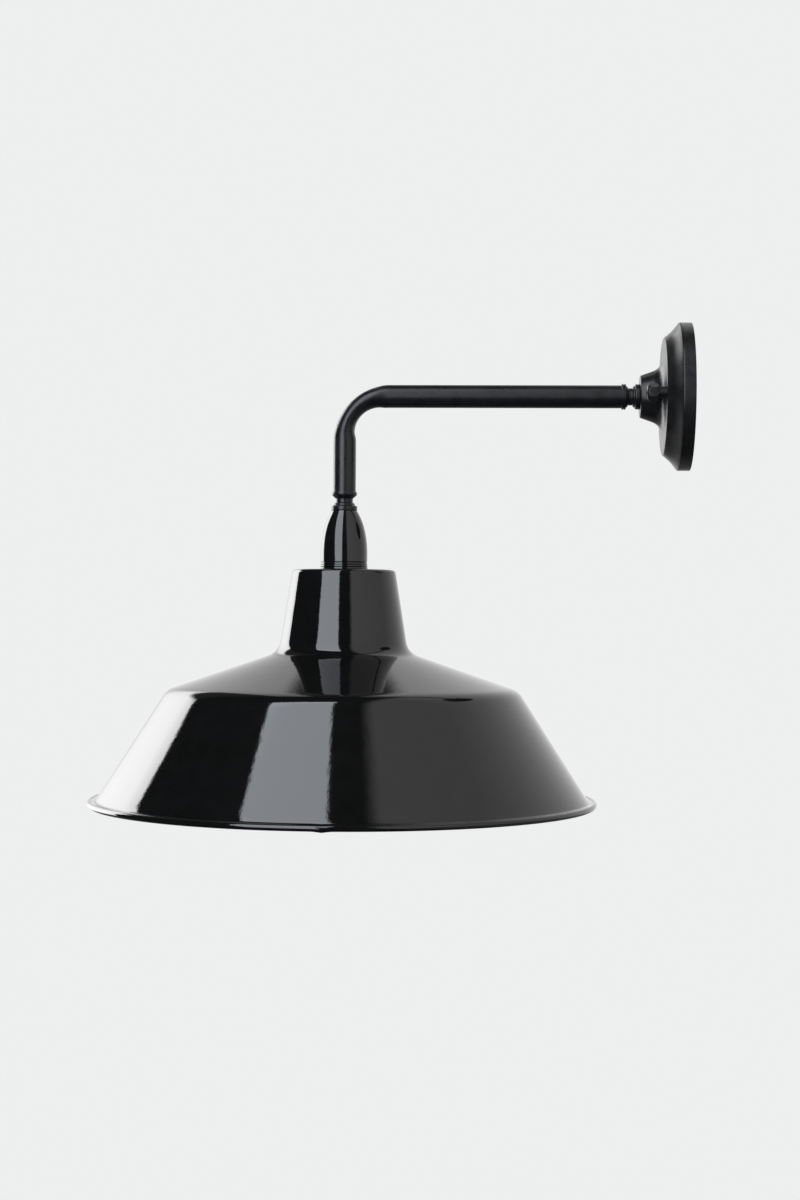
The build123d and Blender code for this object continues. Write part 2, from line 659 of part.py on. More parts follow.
thread = [(ROOT_R, THREAD_TOP, 0.4)]
for turn in range(CAP_TURNS):
    crest = THREAD_TOP - (turn + 0.5) * CAP_PITCH
    thread += [(CAP_R, crest, 0.8), (ROOT_R, crest - CAP_PITCH / 2, 0.8)]
cap_outside = [(CAP_NECK_R, CAP_TOP, 0.2), *thread, (SKIRT_R, CAP_BOTTOM, 0)]
cap_inside = [
    (SKIRT_R - CAP_WALL, CAP_BOTTOM, 0),
    (ROOT_R - CAP_WALL, CAP_BOTTOM + 1.6, 0),
    (ROOT_R - CAP_WALL, THREAD_TOP, 0),
    (CAP_NECK_R, CAP_TOP - 0.8, 0),
]
save(turned(cap_outside + cap_inside), "bulb_cap")

GLASS_NECK_R = 11.6
NECK_LOW = CAP_BOTTOM - 1.5
NECK_HIGH = CAP_BOTTOM + 9.0
ROUND_JOIN = radians(38.0)
ROUND_MIDDLE = radians(-40.0)


def bulb_outline(inset):
    """Half of the bulb's outside, closed along its axis, smaller all round by the inset."""
    round_r = BULB_R - inset
    neck_r = GLASS_NECK_R - inset
    bottom = (0, BULB_CENTRE - round_r)
    side = (round_r * cos(ROUND_MIDDLE), BULB_CENTRE + round_r * sin(ROUND_MIDDLE))
    join = (round_r * cos(ROUND_JOIN), BULB_CENTRE + round_r * sin(ROUND_JOIN))
    with BuildLine(DROP_PLANE) as outline:
        ThreePointArc(bottom, side, join)
        Spline(join, (neck_r, NECK_LOW), tangents=((-sin(ROUND_JOIN), cos(ROUND_JOIN)), (0, 1)))
        Polyline((neck_r, NECK_LOW), (neck_r, NECK_HIGH), (0, NECK_HIGH), bottom)
    return outline.wire()


with BuildPart() as bulb_glass:
    revolve(Face(bulb_outline(0)), axis=DROP_AXIS)
    revolve(Face(bulb_outline(GLASS_T)), axis=DROP_AXIS, mode=Mode.SUBTRACT)
    with BuildSketch(Plane.XY.offset(NECK_HIGH)):
        with Locations((-REACH, 0)):
            Circle(GLASS_NECK_R - GLASS_T)
    extrude(amount=-2.0, mode=Mode.SUBTRACT)
save(bulb_glass.part, "bulb_glass")

# ---- inside the bulb: a glass mount, two lead wires and the filament between them ----
MOUNT_TOP = NECK_HIGH - 3.0
MOUNT_BOTTOM = MOUNT_TOP - 34.0
LEAD_R = 0.35
LEAD_IN = 1.6  # each lead, beside the axis in the mount
FILAMENT_R = 9.0  # radius of the filament's ring
FILAMENT_Z = MOUNT_BOTTOM - 14.0
FILAMENT_WIRE_R = 0.45
save(
    turned([
        (0.9, MOUNT_TOP, 0),
        (GLASS_NECK_R - GLASS_T - 0.1, MOUNT_TOP, 0),
        (GLASS_NECK_R - GLASS_T - 0.1, MOUNT_TOP - 1.0, 0.3),
        (3.4, MOUNT_TOP - 9.0, 6.0),
        (3.0, MOUNT_BOTTOM, 1.0),
        (0, MOUNT_BOTTOM, 0),
        (0, MOUNT_BOTTOM + 6.0, 0),
        (0.9, MOUNT_BOTTOM + 7.0, 0),
    ]),
    "bulb_mount",
)


def lead(side):
    """A lead wire that stands out of the mount's end and spreads to the filament."""
    route = [
        (-REACH, side * LEAD_IN, MOUNT_BOTTOM),
        (-REACH, side * LEAD_IN, MOUNT_BOTTOM - 4.0),
        (-REACH, side * FILAMENT_R, FILAMENT_Z + 4.0),
        (-REACH, side * FILAMENT_R, FILAMENT_Z + FILAMENT_WIRE_R),
    ]
    with BuildPart() as wire_part:
        with BuildLine():
            path = FilletPolyline(*route, radius=1.5)
        with BuildSketch(Plane(origin=path @ 0, z_dir=path % 0)):
            Circle(LEAD_R)
        sweep()
    return wire_part.part


with BuildPart() as bulb_leads:
    add(lead(1))
    add(lead(-1))
save(bulb_leads.part, "bulb_leads")

with BuildPart() as bulb_filament:
    with BuildLine(Plane.XY.offset(FILAMENT_Z)):
        half_ring = CenterArc((-REACH, 0), FILAMENT_R, 90, 180)
    with BuildSketch(Plane(origin=half_ring @ 0, z_dir=half_ring % 0)):
        Circle(FILAMENT_WIRE_R)
    sweep()
save(bulb_filament.part, "bulb_filament")
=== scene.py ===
import json
from math import acos, atan2, ceil, cos, exp, hypot, pi, radians, sin, sqrt, tan

import bmesh
import bpy
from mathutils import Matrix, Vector, noise


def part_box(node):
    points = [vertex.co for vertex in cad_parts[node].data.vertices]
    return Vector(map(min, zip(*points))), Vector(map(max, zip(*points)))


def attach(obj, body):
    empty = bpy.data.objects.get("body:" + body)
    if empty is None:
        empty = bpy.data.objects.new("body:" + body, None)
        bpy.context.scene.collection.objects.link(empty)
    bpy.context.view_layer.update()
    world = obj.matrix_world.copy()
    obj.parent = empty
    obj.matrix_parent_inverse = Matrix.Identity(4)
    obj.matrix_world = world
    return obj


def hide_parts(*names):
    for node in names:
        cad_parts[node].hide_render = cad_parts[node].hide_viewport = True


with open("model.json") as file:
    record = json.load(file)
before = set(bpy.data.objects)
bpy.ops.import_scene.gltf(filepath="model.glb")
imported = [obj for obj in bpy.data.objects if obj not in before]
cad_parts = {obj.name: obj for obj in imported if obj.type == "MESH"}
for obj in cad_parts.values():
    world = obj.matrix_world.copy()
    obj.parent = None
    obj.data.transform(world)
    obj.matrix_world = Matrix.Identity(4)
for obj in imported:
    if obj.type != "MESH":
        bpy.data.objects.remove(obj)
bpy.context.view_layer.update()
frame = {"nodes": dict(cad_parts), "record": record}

# A wall lamp: a rose, a bent tube arm and a black enamelled shade. Outlines are in millimetres, as on a
# drawing, and become metres when a mesh is made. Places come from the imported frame.
MM = 0.001

shade_low, shade_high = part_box("shade")
DROP_X = (shade_low.x + shade_high.x) / 2
SHADE_TOP = shade_high.z / MM
SHADE_R = (shade_high.x - shade_low.x) / 2 / MM
RIM_BOTTOM = shade_low.z / MM

rose_low, rose_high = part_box("wall_rose")
ROSE_FRONT = -rose_low.x / MM
ROSE_R = rose_high.z / MM
COLLAR_END = -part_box("rose_collar")[0].x / MM

DROP_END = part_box("drop_collar")[1].z / MM
cup_low, cup_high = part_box("holder_cup")
CUP_TOP = cup_high.z / MM
CUP_BOTTOM = cup_low.z / MM
RINGS_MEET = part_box("cup_ring")[0].z / MM

HOLE_R = 4.1  # the bore for the threaded nipples, in the rose, the shade and all that is turned between


# ---- outlines and meshes ----
def clamped(value):
    return min(1.0, max(0.0, value))


def corner_arc(before, corner, after, radius, step_angle=radians(9)):
    """Points of the arc that rounds one corner of an outline."""
    a, b, c = Vector(before), Vector(corner), Vector(after)
    to_a, to_c = (a - b).normalized(), (c - b).normalized()
    opening = acos(max(-1.0, min(1.0, to_a.dot(to_c))))
    back = radius / tan(opening / 2)
    start, end = b + to_a * back, b + to_c * back
    centre = b + (to_a + to_c).normalized() * (radius / sin(opening / 2))
    first = atan2(start.y - centre.y, start.x - centre.x)
    sweep = atan2(end.y - centre.y, end.x - centre.x) - first
    sweep = (sweep + pi) % (2 * pi) - pi
    steps = max(2, ceil(abs(sweep) / step_angle))
    angles = [first + sweep * k / steps for k in range(steps + 1)]
    return [(centre.x + radius * cos(t), centre.y + radius * sin(t)) for t in angles]


def outline(corners, closed=True, longest=6.0):
    """A rounded outline from (u, v, corner radius), in mm, with no run longer than longest."""
    count = len(corners)
    rough = []
    for i, (u, v, radius) in enumerate(corners):
        if radius == 0 or (not closed and i in (0, count - 1)):
            rough.append((u, v))
        else:
            rough += corner_arc(corners[i - 1][:2], (u, v), corners[(i + 1) % count][:2], radius)
    pairs = list(zip(rough, rough[1:] + rough[:1])) if closed else list(zip(rough, rough[1:]))
    points = []
    for (u0, v0), (u1, v1) in pairs:
        pieces = max(1, ceil(hypot(u1 - u0, v1 - v0) / longest))
        points += [(u0 + (u1 - u0) * k / pieces, v0 + (v1 - v0) * k / pieces) for k in range(pieces)]
    return points if closed else points + [rough[-1]]


def bezier(p0, p1, p2, p3, steps):
    """Points along one cubic curve."""
    points = []
    for k in range(steps + 1):
        t = k / steps
        weights = ((1 - t) ** 3, 3 * t * (1 - t) ** 2, 3 * t * t * (1 - t), t**3)
        points.append(tuple(sum(w * p[i] for w, p in zip(weights, (p0, p1, p2, p3))) for i in (0, 1)))
    return points


def mesh_object(name, rings, closed_along=True, sharp=radians(40)):
    """A mesh from rings of points in metres: each ring is joined to the next, and the last to the first."""
    count = len(rings[0])
    faces = []
    for i in range(len(rings)):
        j = (i + 1) % len(rings)
        for k in range(count if closed_along else count - 1):
            m = (k + 1) % count
            faces.append((i * count + k, j * count + k, j * count + m, i * count + m))
    mesh = bpy.data.meshes.new(name)
    mesh.from_pydata([p for ring in rings for p in ring], [], faces)
    weld(mesh)
    mesh.shade_smooth()
    mesh.set_sharp_from_angle(angle=sharp)
    return placed(name, mesh)


def weld(mesh):
    """Joins points that meet, drops empty faces, and turns the others outward."""
    work = bmesh.new()
    work.from_mesh(mesh)
    bmesh.ops.remove_doubles(work, verts=work.verts, dist=1e-7)
    bmesh.ops.dissolve_degenerate(work, dist=1e-8, edges=work.edges)
    bmesh.ops.recalc_face_normals(work, faces=work.faces)
    work.to_mesh(mesh)
    work.free()


def placed(name, data):
    """A new object in the scene."""
    item = bpy.data.objects.new(name, data)
    bpy.context.scene.collection.objects.link(item)
    return item


def about_drop(radius, height, angle):
    return (DROP_X + radius * MM * cos(angle), radius * MM * sin(angle), height * MM)


def about_arm(depth, radius, angle, y=0.0):
    return (-depth * MM, y + radius * MM * cos(angle), radius * MM * sin(angle))


def turned(name, points, segments=128, place=about_drop):
    """A turned piece from a closed outline. place makes a point from two values and an angle."""
    rings = [[place(u, v, 2 * pi * k / segments) for u, v in points] for k in range(segments)]
    return mesh_object(name, rings)


# ---- nodes for materials ----
NOISE_LOW = 0.3  # nearly all of a noise's values lie between these two
NOISE_HIGH = 0.7


def new_material(name, **values):
    """A material with a Principled shader whose plain sockets are set by name."""
    material = bpy.data.materials.new(name)
    material.use_nodes = True
    shader = material.node_tree.nodes["Principled BSDF"]
    for socket, value in values.items():
        shader.inputs[socket.replace("_", " ")].default_value = value
    return material


def add_node(tree, kind, inputs=None, **settings):
    node = tree.nodes.new(kind)
    for key, value in settings.items():
        setattr(node, key, value)
    for key, value in (inputs or {}).items():
        if isinstance(value, bpy.types.NodeSocket):
            tree.links.new(value, node.inputs[key])
        else:
            node.inputs[key].default_value = value
    return node


def object_noise(tree, scale, detail=2.0, roughness=0.5, stretch=(1, 1, 1)):
    """Noise fixed to the object, with scale in waves per metre."""
    place = add_node(tree, "ShaderNodeTexCoord").outputs["Object"]
    moved = add_node(tree, "ShaderNodeMapping", {"Vector": place, "Scale": stretch})
    settings = {"Vector": moved.outputs[0], "Scale": scale, "Detail": detail, "Roughness": roughness}
    return add_node(tree, "ShaderNodeTexNoise", settings).outputs["Fac"]


def remap(tree, value, low, high, to_low, to_high):
    inputs = {"Value": value, "From Min": low, "From Max": high, "To Min": to_low, "To Max": to_high}
    return add_node(tree, "ShaderNodeMapRange", inputs).outputs["Result"]


def blend_colours(tree, factor, first, second):
    inputs = {"Factor": factor, "A": (*first, 1), "B": (*second, 1)}
    return add_node(tree, "ShaderNodeMix", inputs, data_type="RGBA").outputs["Result"]


def surface(name, dark, light, rough, colour_scale, bumps, grain=(1, 1, 1), **values):
    """A material whose colour and roughness vary a little. A bump is (scale, depth in metres, detail)."""
    material = new_material(name, **values)
    tree = material.node_tree
    shader = tree.nodes["Principled BSDF"]
    cloud = object_noise(tree, colour_scale, 4.0, 0.6, grain)
    spread = remap(tree, cloud, NOISE_LOW, NOISE_HIGH, 0.0, 1.0)
    tree.links.new(blend_colours(tree, spread, dark, light), shader.inputs["Base Color"])
    tree.links.new(remap(tree, cloud, NOISE_LOW, NOISE_HIGH, *rough), shader.inputs["Roughness"])
    normal = None
    for scale, depth, detail in bumps:
        height = object_noise(tree, scale, detail, 0.5, grain)
        inputs = {"Height": height, "Distance": depth, "Strength": 1.0}
        if normal:
            inputs["Normal"] = normal
        normal = add_node(tree, "ShaderNodeBump", inputs).outputs["Normal"]
    tree.links.new(normal, shader.inputs["Normal"])
    return material


# ---- the materials ----
def black_enamel():
    """Gloss vitreous enamel: deep black, with the low ripple of a fired coat."""
    return surface(
        "black_enamel", (0.0035, 0.0035, 0.0034), (0.005, 0.005, 0.005), (0.035, 0.05), 60,
        [(160, 0.00003, 2.0), (800, 0.000012, 3.0)], IOR=1.5,
    )


def white_enamel():
    """The inside of the shade: the same fired coat, in white."""
    return surface(
        "white_enamel", (0.74, 0.74, 0.72), (0.79, 0.79, 0.77), (0.09, 0.13), 50,
        [(150, 0.000025, 2.0), (700, 0.000005, 2.0)], IOR=1.52,
    )


def gloss_black():
    """Gloss lacquer on the cup and its rings."""
    return surface(
        "gloss_black", (0.004, 0.004, 0.004), (0.006, 0.006, 0.006), (0.05, 0.075), 90,
        [(420, 0.000006, 2.0)], IOR=1.5,
    )


def satin_black():
    """Sprayed satin lacquer with a very fine grain."""
    return surface(
        "satin_black", (0.005, 0.005, 0.0053), (0.0075, 0.0076, 0.008), (0.26, 0.34), 120,
        [(2600, 0.0000012, 2.0), (300, 0.000004, 2.0)], IOR=1.45, Specular_IOR_Level=0.4,
    )


def zinc_plate():
    """Plated steel with an upright grain."""
    return surface(
        "zinc_plate", (0.50, 0.51, 0.53), (0.63, 0.63, 0.62), (0.28, 0.42), 260,
        [(1800, 0.000006, 3.0)], grain=(1, 1, 6), Metallic=1.0,
    )


def brass_part():
    """Plain brass with fine tool marks."""
    return surface(
        "brass_part", (0.56, 0.42, 0.17), (0.70, 0.54, 0.25), (0.2, 0.34), 200,
        [(1500, 0.000004, 3.0)], grain=(6, 1, 6), Metallic=1.0,
    )


def porcelain():
    """Glazed white porcelain."""
    return surface(
        "porcelain", (0.74, 0.73, 0.69), (0.83, 0.82, 0.78), (0.1, 0.18), 110,
        [(260, 0.00003, 3.0)], IOR=1.52,
    )


def moulded(name, dark, light):
    """Moulded or extruded plastic."""
    return surface(name, dark, light, (0.42, 0.55), 300, [(1600, 0.000012, 2.0)], IOR=1.46)


def solder():
    """The dull tip of the bulb's cap."""
    return surface(
        "solder", (0.42, 0.42, 0.44), (0.62, 0.62, 0.64), (0.35, 0.5), 500,
        [(900, 0.00003, 3.0)], Metallic=1.0,
    )


def vitrite():
    """The black glass between the bulb's tip and cap."""
    return surface(
        "vitrite", (0.008, 0.008, 0.012), (0.015, 0.015, 0.02), (0.08, 0.2), 400,
        [(700, 0.00002, 2.0)],
    )


def cap_metal():
    """The bulb's rolled cap."""
    return surface(
        "cap_metal", (0.62, 0.62, 0.63), (0.78, 0.78, 0.79), (0.24, 0.36), 240,
        [(900, 0.000008, 3.0)], Metallic=1.0,
    )


def lead_wire():
    """Drawn wire inside the bulb."""
    return surface(
        "lead_wire", (0.3, 0.27, 0.25), (0.45, 0.42, 0.4), (0.25, 0.4), 900,
        [(2500, 0.000004, 2.0)], Metallic=1.0,
    )


def filament():
    """Dark drawn tungsten."""
    return surface(
        "filament", (0.12, 0.12, 0.13), (0.22, 0.21, 0.2), (0.3, 0.45), 2000,
        [(6000, 0.000003, 2.0)], Metallic=1.0,
    )


def clear_glass(name, tint):
    """Clear glass with faint streaks in its roughness and tint."""
    material = new_material(name, Transmission_Weight=1.0, IOR=1.48)
    tree = material.node_tree
    shader = tree.nodes["Principled BSDF"]
    streaks = object_noise(tree, 90, 3.0, 0.5, (1, 1, 0.3))
    tree.links.new(remap(tree, streaks, NOISE_LOW, NOISE_HIGH, 0.0, 0.03), shader.inputs["Roughness"])
    lighter = tuple(0.5 + part / 2 for part in tint)
    tree.links.new(blend_colours(tree, streaks, tint, lighter), shader.inputs["Base Color"])
    return material


def pale_floor():
    """Matt pale studio floor."""
    return surface(
        "pale_floor", (0.60, 0.605, 0.61), (0.63, 0.635, 0.64), (0.75, 0.9), 3,
        [(120, 0.00005, 3.0)],
    )


MATERIALS = {
    "satin_black": satin_black(),
    "gloss_black": gloss_black(),
    "black_enamel": black_enamel(),
    "zinc_plate": zinc_plate(),
    "brass_part": brass_part(),
    "block_plastic": moulded("block_plastic", (0.62, 0.6, 0.55), (0.72, 0.7, 0.65)),
    "bushing_plastic": moulded("bushing_plastic", (0.7, 0.7, 0.67), (0.8, 0.8, 0.77)),
    "porcelain": porcelain(),
    "brown_insulation": moulded("brown_insulation", (0.08, 0.03, 0.012), (0.12, 0.05, 0.02)),
    "blue_insulation": moulded("blue_insulation", (0.02, 0.08, 0.3), (0.04, 0.12, 0.4)),
    "solder": solder(),
    "vitrite": vitrite(),
    "cap_metal": cap_metal(),
    "bulb_glass": clear_glass("bulb_glass", (0.97, 0.98, 0.97)),
    "mount_glass": clear_glass("mount_glass", (0.86, 0.92, 0.88)),
    "lead_wire": lead_wire(),
    "filament": filament(),
}
WHITE_ENAMEL = white_enamel()
SLOT_OF = {entry["node"]: entry["material_slot"] for entry in frame["record"]["subparts"]}
BODY_OF = {
    node: body for body, nodes in frame["record"]["behaviour"]["bodies"].items() for node in nodes
}


def dress_cad_nodes():
    """Every CAD node gets its material. Finer meshes take the place of some of them later."""
    for node, piece in frame["nodes"].items():
        piece.data.materials.clear()
        piece.data.materials.append(MATERIALS[SLOT_OF[node]])


def stands_for(piece, node):
    """A finer mesh takes the place of a CAD node, on the same body and with the same finish."""
    piece.data.materials.append(MATERIALS[SLOT_OF[node]])
    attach(piece, BODY_OF[node])
    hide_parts(node)


# ---- the shade ----
SHEET = 1.2
RIM_BEAD_R = 2.2
NECK_R = 36.2
NECK_FOOT_R = 45.5
NECK_DEPTH = 58.0
RIDGE_R = 123.2
RIDGE_DEPTH = 84.3
CONE_FOOT_R = 173.3
RIM_Z = RIM_BOTTOM + RIM_BEAD_R
RIM_R = SHADE_R - RIM_BEAD_R
SHADE_SEGMENTS = 360
WARP = 0.16  # how far the spun sheet is out of true
WARP_FULL_R = 150  # the warp grows from the axis out to this radius
WARP_ROUND = 2.2  # radius of the circle on which the warp's noise is read
WARP_HEIGHT = 60  # height in which the place where it is read rises by 1
HANG_MARK = 0.75  # how far a bead of glaze hangs below the rim
HANG_MARK_WIDTH = 3.4
LIP_HEIGHT = 6.0  # the bead fades out over this height


def shade_outside():
    """Half of the shade's outer face, from the nipple's hole to the lip."""
    return outline([
        (HOLE_R, SHADE_TOP, 0),
        (NECK_R, SHADE_TOP, 3.0),
        (NECK_FOOT_R, SHADE_TOP - NECK_DEPTH, 12.0),
        (RIDGE_R, SHADE_TOP - RIDGE_DEPTH, 14.0),
        (CONE_FOOT_R - 0.6, RIM_Z + 1.6, 2.2),
        (RIM_R - 0.4, RIM_Z + RIM_BEAD_R - 0.3, 0),
    ], closed=False, longest=4.0)


def rolled_lip(from_angle, to_angle, steps=16):
    angles = [from_angle + (to_angle - from_angle) * k / steps for k in range(steps + 1)]
    return [(RIM_R + RIM_BEAD_R * cos(t), RIM_Z + RIM_BEAD_R * sin(t)) for t in angles]


def shade_inside():
    """Half of the inner face, from the roll back up to the hole."""
    return outline([
        (RIM_R - 2.1, RIM_Z - 0.5, 0),
        (CONE_FOOT_R - 2.0, RIM_Z + 0.8, 1.0),
        (RIDGE_R - 0.9, SHADE_TOP - RIDGE_DEPTH - 1.0, 12.8),
        (NECK_FOOT_R - 1.1, SHADE_TOP - NECK_DEPTH - 0.9, 12.5),
        (NECK_R - 1.1, SHADE_TOP - SHEET, 2.0),
        (HOLE_R, SHADE_TOP - SHEET, 0),
    ], closed=False, longest=4.0)


def hang_mark(angle):
    """How far the glaze hangs below the rim, in mm: one bead at the front, as the kiln left it."""
    off_front = (angle + pi / 2 + pi) % (2 * pi) - pi
    return HANG_MARK * exp(-((off_front * RIM_R / HANG_MARK_WIDTH) ** 2))


def is_white(face):
    """True for the faces of the shade's inside."""
    radius = hypot(face.center.x - DROP_X, face.center.y) / MM
    height = face.center.z / MM
    outward = (face.center.x - DROP_X) * face.normal.x + face.center.y * face.normal.y
    inner_face = outward < 0 and height > RIM_Z - 0.4 and radius < RIM_R - 1.9
    under_top = radius < NECK_R - 2 and face.normal.z < -0.5
    return inner_face or under_top


def make_shade():
    points = shade_outside() + rolled_lip(radians(80), radians(-165)) + shade_inside()
    rings = []
    for k in range(SHADE_SEGMENTS):
        angle = 2 * pi * k / SHADE_SEGMENTS
        around = Vector((cos(angle), sin(angle), 0.0))
        ring = []
        for radius, height in points:
            wave = noise.noise(around * WARP_ROUND + Vector((0, 0, height / WARP_HEIGHT)))
            wave *= WARP * min(1.0, radius / WARP_FULL_R)
            near_lip = max(0.0, 1 - (height - RIM_BOTTOM) / LIP_HEIGHT)
            ring.append(about_drop(radius + wave, height - hang_mark(angle) * near_lip, angle))
        rings.append(ring)
    shade = mesh_object("enamel_shade", rings, sharp=radians(50))
    stands_for(shade, "shade")
    shade.data.materials.append(WHITE_ENAMEL)
    for face in shade.data.polygons:
        if is_white(face):
            face.material_index = 1


# ---- the rose and its fixings, as (depth from the wall, radius, corner radius) ----
ROSE_RING = 19.0  # depth of the flat ring that the cap nuts press on
WASHER_R = 4.3
WASHER_T = 1.0
NUT_HALF_FLATS = 5.4
NUT_SEGMENTS = 96


def make_rose():
    face = outline([
        (ROSE_FRONT, HOLE_R, 0),
        (ROSE_FRONT, 14.6, 1.0),
        (ROSE_RING, 20.3, 11.0),
        (ROSE_RING, 40.8, 1.8),
        (13.8, 44.7, 25.0),
        (8.4, ROSE_R, 1.2),
        (0.0, ROSE_R, 0),
    ], closed=False, longest=2.5)
    back = outline([
        (0.0, 50.7, 0),
        (8.3, 50.7, 0.4),
        (13.2, 44.1, 20.0),
        (18.1, 40.4, 1.2),
        (18.1, 19.9, 11.0),
        (34.1, 13.8, 0.5),
        (34.1, HOLE_R, 0),
    ], closed=False, longest=2.5)
    stands_for(turned("rose_shell", face + back, 192, about_arm), "wall_rose")


def make_rose_collar():
    """A base with a bead at each end of a waist."""
    points = outline([
        (ROSE_FRONT, HOLE_R, 0),
        (ROSE_FRONT, 8.8, 0.6),
        (38.2, 8.8, 1.0),
        (38.6, 7.6, 0.2),
        (39.6, 7.2, 0.5),
        (40.3, 6.0, 0.6),
        (43.0, 6.0, 0.6),
        (43.8, 7.3, 0.3),
        (44.6, 7.5, 0.2),
        (44.7, 8.9, 0.5),
        (45.9, 8.9, 0.3),
        (46.0, 8.5, 0.1),
        (46.3, 8.5, 0.1),
        (46.4, 9.0, 0.3),
        (COLLAR_END, 9.0, 0.6),
        (COLLAR_END, HOLE_R, 0),
    ], longest=1.0)
    stands_for(turned("turned_rose_collar", points, 96, about_arm), "rose_collar")


def make_cap_nut(tag, y):
    """A hexagon cap nut: each section's radius is the lesser of the hexagon and the turned form."""
    foot = ROSE_RING + WASHER_T
    turned_form = outline([
        (foot, 2.5, 0),
        (foot, 3.9, 0.2),
        (24.0, 3.9, 0),
        (24.0, 5.5, 0.4),
        (24.9, 6.2, 0.8),
        (29.4, 6.35, 2.0),
        (32.0, 4.7, 2.2),
        (32.6, 0.02, 0),
    ], closed=False, longest=0.5)
    rings = []
    for k in range(NUT_SEGMENTS):
        angle = 2 * pi * k / NUT_SEGMENTS
        off_flat = (angle + pi / 6) % (pi / 3) - pi / 6
        hexagon = NUT_HALF_FLATS / cos(off_flat)
        rings.append([about_arm(depth, min(radius, hexagon), angle, y) for depth, radius in turned_form])
    nut = mesh_object("cap_nut_" + tag, rings, closed_along=False, sharp=radians(22))
    stands_for(nut, "cap_nuts")


def make_nut_washer(tag, y):
    points = outline([
        (ROSE_RING, 2.6, 0),
        (ROSE_RING, WASHER_R, 0.2),
        (ROSE_RING + WASHER_T, WASHER_R, 0.4),
        (ROSE_RING + WASHER_T, 2.6, 0),
    ], longest=0.6)

    def about_stud(depth, radius, angle):
        return about_arm(depth, radius, angle, y)

    stands_for(turned("cap_nut_washer_" + tag, points, NUT_SEGMENTS, about_stud), "cap_nut_washers")


def make_fixings():
    """A cap nut and a washer on each side of the arm."""
    washer_low, washer_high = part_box("cap_nut_washers")
    spread = (washer_high.y - washer_low.y) / 2 - WASHER_R * MM
    for side, tag in ((-1, "front"), (1, "back")):
        make_cap_nut(tag, side * spread)
        make_nut_washer(tag, side * spread)


# ---- the arm ----
TUBE_R = 8.0
TUBE_WALL = 1.2
TUBE_SIDES = 96
BEND_R = 29.0
# The bend's outside and inside are arcs about centres of their own. Each has how far its centre lies from
# the bend's pivot toward the drop, how far above it, and its radius.
OUTER_BEND = (4.0, -4.0, 41.0)
INNER_BEND = (-4.3, 3.4, 17.8)
BEND_BULGE = 0.8  # how much wider the tube is sideways, halfway round the bend
BEND_BLEND = 7.0  # the straight runs end this far from the bend
RUN_STEPS = 30
DROP_STEPS = 10
BEND_STEPS = 44
BLEND_STEPS = 4  # sections past each end of the bend
EASE_STEPS = 10  # sections over which the bend's shape comes and goes


def reach(angle, arc):
    """How far the arc is from the bend's pivot, at an angle past upright and toward the drop."""
    toward, up, radius = arc
    along = -toward * sin(angle) + up * cos(angle)
    return along + sqrt(along**2 + radius**2 - toward**2 - up**2)


def bend_station(step, bend_start):
    """One section of the bend, or of the short blend past either end of it."""
    angle = radians(90 * step / BEND_STEPS)
    within = min(max(angle, 0.0), pi / 2)
    outer, inner = reach(within, OUTER_BEND), reach(within, INNER_BEND)
    from_start, from_end = step + BLEND_STEPS, BEND_STEPS + BLEND_STEPS - step
    ease = clamped(min(from_start, from_end) / EASE_STEPS)
    ease = ease * ease * (3 - 2 * ease)
    middle = BEND_R + ((outer + inner) / 2 - BEND_R) * ease
    half = TUBE_R + ((outer - inner) / 2 - TUBE_R) * ease
    wide = TUBE_R + BEND_BULGE * sin(2 * within) * ease
    if angle < 0:
        return (bend_start - BEND_R * angle, 0.0), (0.0, 1.0), half, wide
    if angle > pi / 2:
        return (bend_start - BEND_R, -BEND_R - BEND_R * (angle - pi / 2)), (-1.0, 0.0), half, wide
    across = (-sin(angle), cos(angle))
    centre = (bend_start + middle * across[0], -BEND_R + middle * across[1])
    return centre, across, half, wide


def arm_stations():
    """Sections along the arm: the centre, the in-plane direction, and the two half widths, in mm."""
    drop_x = DROP_X / MM
    bend_start = drop_x + BEND_R
    run = -COLLAR_END - (bend_start + BEND_BLEND)
    top = -BEND_R - BEND_BLEND
    stations = []
    for k in range(RUN_STEPS + 1):
        stations.append(((-COLLAR_END - run * k / RUN_STEPS, 0.0), (0.0, 1.0), TUBE_R, TUBE_R))
    for k in range(-BLEND_STEPS, BEND_STEPS + BLEND_STEPS + 1):
        stations.append(bend_station(k, bend_start))
    for k in range(1, DROP_STEPS + 1):
        stations.append(((drop_x, top + (DROP_END - top) * k / DROP_STEPS), (-1.0, 0.0), TUBE_R, TUBE_R))
    return stations


def tube_section(station, wall):
    """A ring of points in metres, inside the tube's outer face by wall."""
    (x, z), (across_x, across_z), half, wide = station
    ring = []
    for k in range(TUBE_SIDES):
        angle = 2 * pi * k / TUBE_SIDES
        in_plane = (half - wall) * cos(angle)
        sideways = (wide - wall) * sin(angle)
        ring.append(((x + across_x * in_plane) * MM, sideways * MM, (z + across_z * in_plane) * MM))
    return ring


def make_arm():
    stations = arm_stations()
    outside = [tube_section(station, 0.0) for station in stations]
    inside = [tube_section(station, TUBE_WALL) for station in reversed(stations)]
    stands_for(mesh_object("bent_arm_tube", outside + inside, sharp=radians(35)), "arm_tube")


# ---- the drop: collar, cup and rings, as (radius, height, corner radius) ----
CUP_WALL = 1.2


def make_drop_collar():
    """A waist between two beads."""
    points = outline([
        (HOLE_R, DROP_END, 0),
        (8.4, DROP_END, 0.3),
        (9.0, -68.2, 0.6),
        (8.8, -69.6, 0.5),
        (7.2, -71.0, 0.6),
        (6.0, -72.1, 0.5),
        (6.0, -74.6, 0.5),
        (7.1, -75.4, 0.2),
        (7.6, -76.6, 0.2),
        (9.1, -77.4, 0.6),
        (9.1, CUP_TOP, 0.9),
        (HOLE_R, CUP_TOP, 0),
    ], longest=1.0)
    stands_for(turned("turned_drop_collar", points, 96), "drop_collar")


